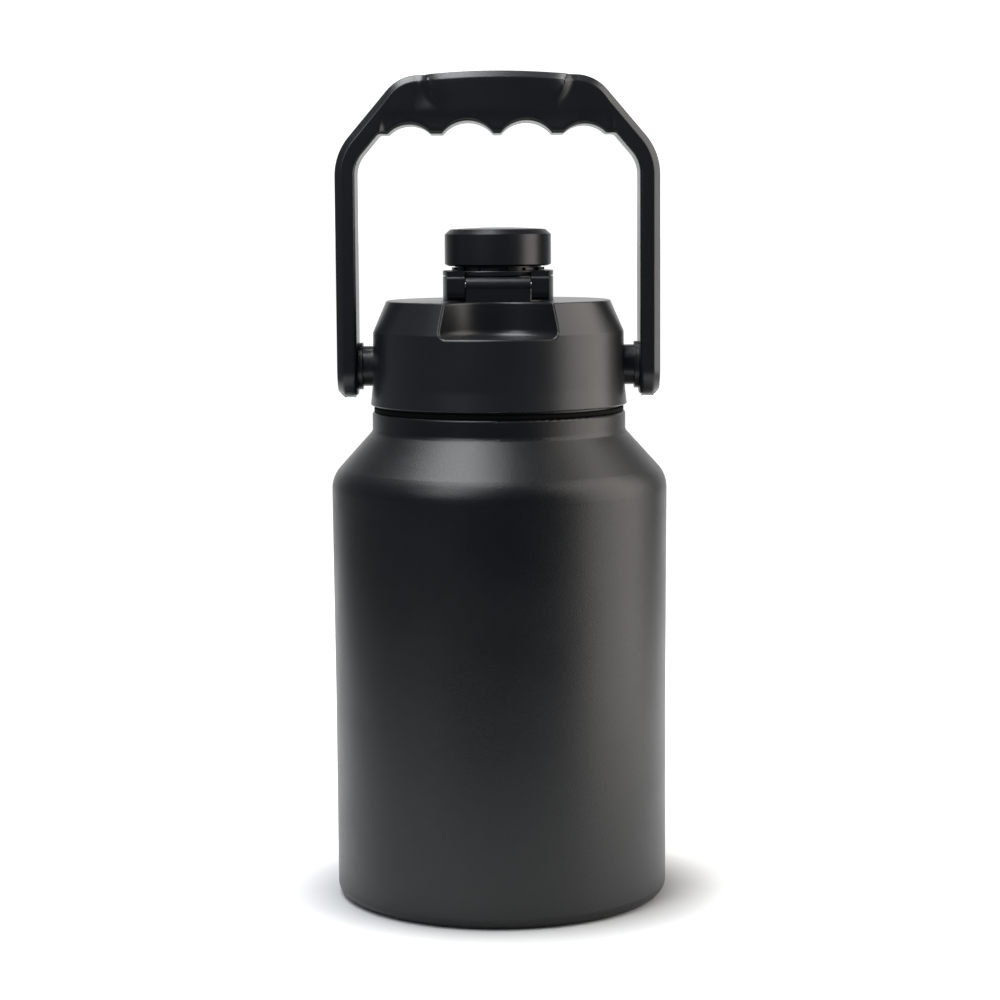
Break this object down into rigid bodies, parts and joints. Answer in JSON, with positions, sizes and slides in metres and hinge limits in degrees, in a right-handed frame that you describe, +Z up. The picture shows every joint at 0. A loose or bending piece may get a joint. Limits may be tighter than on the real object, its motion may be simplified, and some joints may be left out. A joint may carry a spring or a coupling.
{
  "type": "insulated water jug",
  "caption": "Large double-wall steel water jug with a screw lid, a hinged screw cap on its spout and a swinging carry handle.",
  "frame": {"origin": "centre of the foot ring, on the surface that the jug stands on", "axes": "+Z up along the jug's axis, -Y to the front with the cap's hinge, +X along the handle's pivot axis to the right"},
  "size_m": [0.1299, 0.13, 0.3185],
  "materials": {
    "powder_coat": "fine matte powder coat, black",
    "steel": "satin stainless",
    "getter": "sintered",
    "black_plastic": "fine matte moulding",
    "inner_plastic": "smooth moulding",
    "foam": "closed-cell foam",
    "seal": "soft silicone"
  },
  "bodies": {
    "jug": {"outer_shell": "powder_coat", "inner_liner": "steel", "base_plate": "steel", "vacuum_getter": "getter"},
    "gasket": {"lid_gasket": "seal"},
    "lid": {"lid_cover": "black_plastic", "lid_liner": "inner_plastic", "lid_insulation": "foam", "spout": "inner_plastic", "spout_collar": "black_plastic", "hinge_pin": "steel", "trunnion_left": "black_plastic", "trunnion_right": "black_plastic", "pivot_washer_left": "inner_plastic", "pivot_washer_right": "inner_plastic", "pivot_screw_left": "steel", "pivot_screw_right": "steel"},
    "handle": {"handle": "black_plastic", "pivot_plug_left": "black_plastic", "pivot_plug_right": "black_plastic"},
    "cap_ring": {"cap_ring": "black_plastic"},
    "cap_seal": {"cap_seal": "seal"},
    "cap": {"cap_shell": "black_plastic", "cap_liner": "inner_plastic"}
  },
  "joints": [
    {"name": "lid_lift", "type": "slide", "parent": "jug", "child": "gasket", "axis": [0, 0, 1], "range_m": [0, 0.01801]},
    {"name": "lid_twist", "type": "hinge", "parent": "gasket", "child": "lid", "pos_m": [0, 0, 0.189], "axis": [0, 0, 1], "range_deg": [0, 1080]},
    {"name": "handle_swing", "type": "hinge", "parent": "lid", "child": "handle", "pos_m": [0, 0, 0.2065], "axis": [1, 0, 0], "range_deg": [-120, 120]},
    {"name": "cap_flip", "type": "hinge", "parent": "lid", "child": "cap_ring", "pos_m": [0, -0.023, 0.2379], "axis": [1, 0, 0], "range_deg": [0, 145]},
    {"name": "cap_lift", "type": "slide", "parent": "cap_ring", "child": "cap_seal", "axis": [0, 0, 1], "range_m": [0, 0.00251]},
    {"name": "cap_twist", "type": "hinge", "parent": "cap_seal", "child": "cap", "pos_m": [0, 0, 0.25], "axis": [0, 0, 1], "range_deg": [0, 270]}
  ],
  "couplings": [
    {"joint": "lid_lift", "follows": "lid_twist", "m_per_rad": 0.00095493},
    {"joint": "cap_lift", "follows": "cap_twist", "m_per_rad": 0.00053052}
  ]
}
